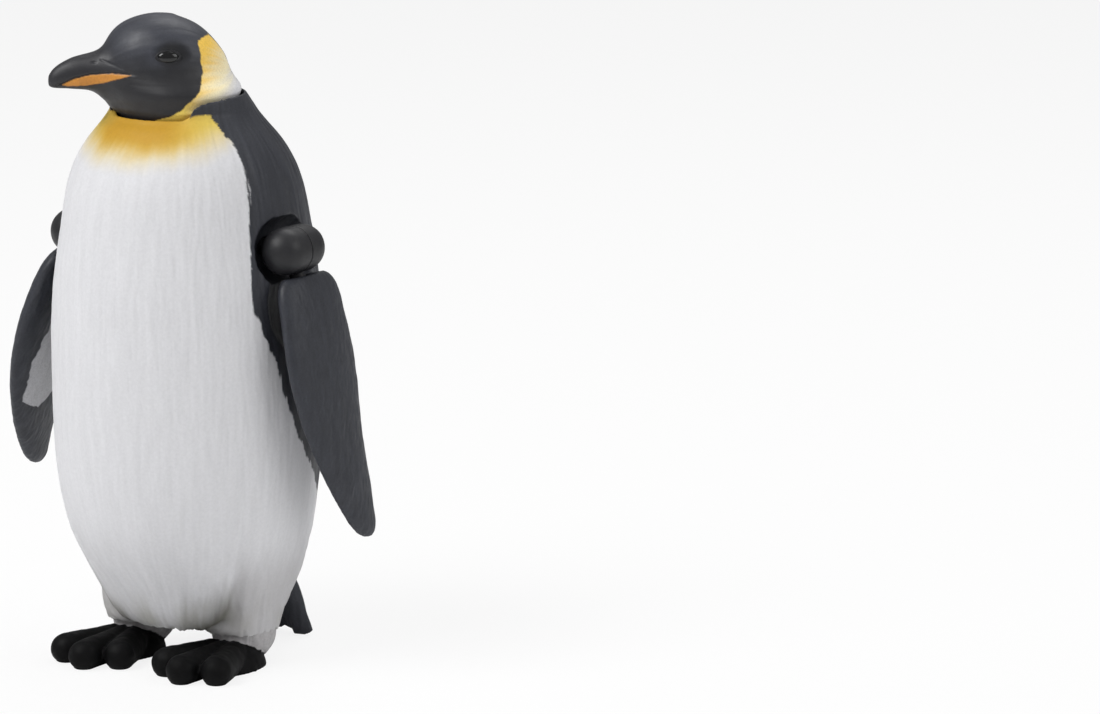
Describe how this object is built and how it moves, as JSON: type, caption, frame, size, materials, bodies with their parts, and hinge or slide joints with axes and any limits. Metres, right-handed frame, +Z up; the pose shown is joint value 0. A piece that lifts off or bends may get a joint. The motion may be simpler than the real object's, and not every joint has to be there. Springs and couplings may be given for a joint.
{
  "type": "penguin figurine",
  "caption": "Standing emperor penguin figure with click joints that pose its head, wings and feet; it rests on its feet and tail tip.",
  "frame": {"origin": "on the surface it stands on, under the middle of the whole figure's box", "axes": "+Z up, the body faces -Y, the penguin's left is +X"},
  "size_m": [0.0742, 0.048, 0.1102],
  "materials": {
    "white_plumage": "matte painted vinyl with feather grooves",
    "black_plumage": "matte charcoal vinyl with feather grooves",
    "head_paint": "matte charcoal vinyl, painted ear patches and beak stripes",
    "joint_black": "satin moulded plastic",
    "foot_black": "matte black vinyl"
  },
  "bodies": {
    "torso": {"body_front_shell": "white_plumage", "body_back_shell": "black_plumage", "tail": "black_plumage", "leg_left": "white_plumage", "leg_right": "white_plumage"},
    "neck_swivel": {"neck_lower_half": "joint_black", "neck_pin": "joint_black"},
    "head": {"head": "head_paint", "neck_upper_half": "joint_black"},
    "shoulder_left": {"shoulder_inner_half_left": "joint_black", "shoulder_pin_left": "joint_black"},
    "wing_arm_left": {"shoulder_outer_half_left": "joint_black"},
    "wing_left": {"wing_left": "black_plumage"},
    "ankle_left": {"ankle_upper_half_left": "joint_black", "ankle_pin_left": "joint_black"},
    "foot_left": {"foot_left": "foot_black", "ankle_lower_half_left": "joint_black"},
    "shoulder_right": {"shoulder_inner_half_right": "joint_black", "shoulder_pin_right": "joint_black"},
    "wing_arm_right": {"shoulder_outer_half_right": "joint_black"},
    "wing_right": {"wing_right": "black_plumage"},
    "ankle_right": {"ankle_upper_half_right": "joint_black", "ankle_pin_right": "joint_black"},
    "foot_right": {"foot_right": "foot_black", "ankle_lower_half_right": "joint_black"}
  },
  "joints": [
    {"name": "neck_turn", "type": "hinge", "parent": "torso", "child": "neck_swivel", "pos_m": [0.0048, -0.00168, 0.097], "axis": [0, 0, 1], "range_deg": [-35, 125]},
    {"name": "neck_nod", "type": "hinge", "parent": "neck_swivel", "child": "head", "pos_m": [0.0048, -0.00168, 0.097], "axis": [-0.7071, 0.7071, 0], "range_deg": [-1, 55]},
    {"name": "shoulder_swing_left", "type": "hinge", "parent": "torso", "child": "shoulder_left", "pos_m": [0.0263, 0.00002, 0.0718], "axis": [1, 0, 0], "range_deg": [-30, 30]},
    {"name": "shoulder_raise_left", "type": "hinge", "parent": "shoulder_left", "child": "wing_arm_left", "pos_m": [0.0263, 0.00002, 0.0718], "axis": [0, -1, 0], "range_deg": [-1.5, 90]},
    {"name": "wing_twist_left", "type": "hinge", "parent": "wing_arm_left", "child": "wing_left", "pos_m": [0.0263, 0.00002, 0.0718], "axis": [0.1908, 0, -0.9816], "range_deg": [-8, 8]},
    {"name": "ankle_turn_left", "type": "hinge", "parent": "torso", "child": "ankle_left", "pos_m": [0.0151, 0.00072, 0.00545], "axis": [0, 0, 1], "range_deg": [-5, 30]},
    {"name": "ankle_flex_left", "type": "hinge", "parent": "ankle_left", "child": "foot_left", "pos_m": [0.0151, 0.00072, 0.00545], "axis": [1, 0, 0], "range_deg": [-1, 80]},
    {"name": "shoulder_swing_right", "type": "hinge", "parent": "torso", "child": "shoulder_right", "pos_m": [-0.0167, 0.00002, 0.0718], "axis": [1, 0, 0], "range_deg": [-36, 24]},
    {"name": "shoulder_raise_right", "type": "hinge", "parent": "shoulder_right", "child": "wing_arm_right", "pos_m": [-0.0167, 0.00002, 0.0718], "axis": [0, 0.9945, 0.1045], "range_deg": [-13.5, 78]},
    {"name": "wing_twist_right", "type": "hinge", "parent": "wing_arm_right", "child": "wing_right", "pos_m": [-0.0167, 0.00002, 0.0718], "axis": [0.3907, -0.0962, 0.9155], "range_deg": [-8, 8]},
    {"name": "ankle_turn_right", "type": "hinge", "parent": "torso", "child": "ankle_right", "pos_m": [-0.0055, 0.00072, 0.00545], "axis": [0, 0, -1], "range_deg": [-5, 30]},
    {"name": "ankle_flex_right", "type": "hinge", "parent": "ankle_right", "child": "foot_right", "pos_m": [-0.0055, 0.00072, 0.00545], "axis": [1, 0, 0], "range_deg": [-1, 80]}
  ]
}
